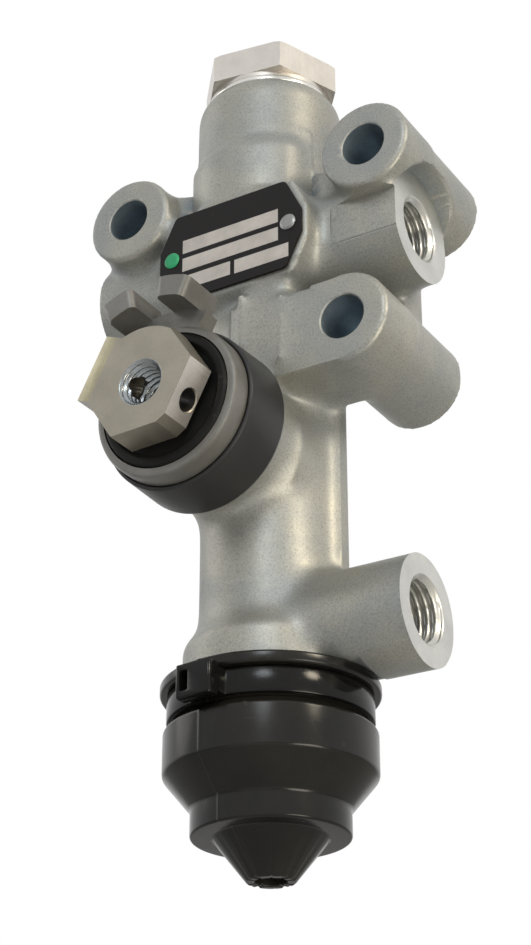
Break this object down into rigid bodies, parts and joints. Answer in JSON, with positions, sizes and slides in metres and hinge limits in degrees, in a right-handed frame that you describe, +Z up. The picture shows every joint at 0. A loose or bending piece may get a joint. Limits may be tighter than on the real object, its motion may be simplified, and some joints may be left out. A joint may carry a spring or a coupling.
{
  "type": "leveling valve",
  "caption": "Ride-height leveling valve for air suspension: cast body with three mounting bosses, air ports, a hexagon plug, a lever shaft and a rubber exhaust boot.",
  "frame": {"origin": "midway between the two upper mounting holes, on the flat rear mounting face", "axes": "+Z up along the barrel towards the hexagon plug, -Y out of the front towards the lever head, +X towards the supply port"},
  "size_m": [0.0683, 0.0577, 0.1619],
  "materials": {
    "cast_body": "die-cast, matt",
    "machined_aluminium": "machined",
    "steel": "machined",
    "bright_steel": "zinc plated",
    "bronze": "sintered",
    "black_rubber": "matt",
    "black_plastic": "moulded",
    "plate": "black print with bare fields",
    "green_rivet": "painted",
    "grey_rivet": "plain"
  },
  "bodies": {
    "valve_body": {"housing": "cast_body", "top_plug": "machined_aluminium", "plug_seal": "bright_steel", "return_spring": "bright_steel", "valve_liner": "machined_aluminium", "liner_rings": "black_rubber", "shaft_bush": "bronze", "stop_collar": "steel", "dust_seal": "black_rubber", "boss_sleeve": "black_rubber", "nameplate": "plate", "rivet_left": "green_rivet", "rivet_right": "grey_rivet", "outlet_strainer": "bronze", "snap_ring": "bright_steel", "exhaust_boot": "black_rubber", "cable_tie": "black_plastic"},
    "lever": {"lever_shaft": "steel", "crank_pin": "steel", "shaft_ring": "black_rubber"},
    "spool": {"valve_spool": "bronze", "spool_ring_upper": "black_rubber", "spool_ring_middle": "black_rubber", "spool_ring_lower": "black_rubber"}
  },
  "joints": [
    {"name": "lever_swing", "type": "hinge", "parent": "valve_body", "child": "lever", "pos_m": [-0.0051, -0.034, -0.052], "axis": [0, -1, 0], "range_deg": [-45, 45]},
    {"name": "spool_travel", "type": "slide", "parent": "valve_body", "child": "spool", "axis": [0, 0, 1], "range_m": [-0.00134, 0.00134], "deforming": ["return_spring"]}
  ],
  "couplings": [
    {"joint": "lever_swing", "follows": "spool_travel", "rad_per_m": 584.59}
  ]
}
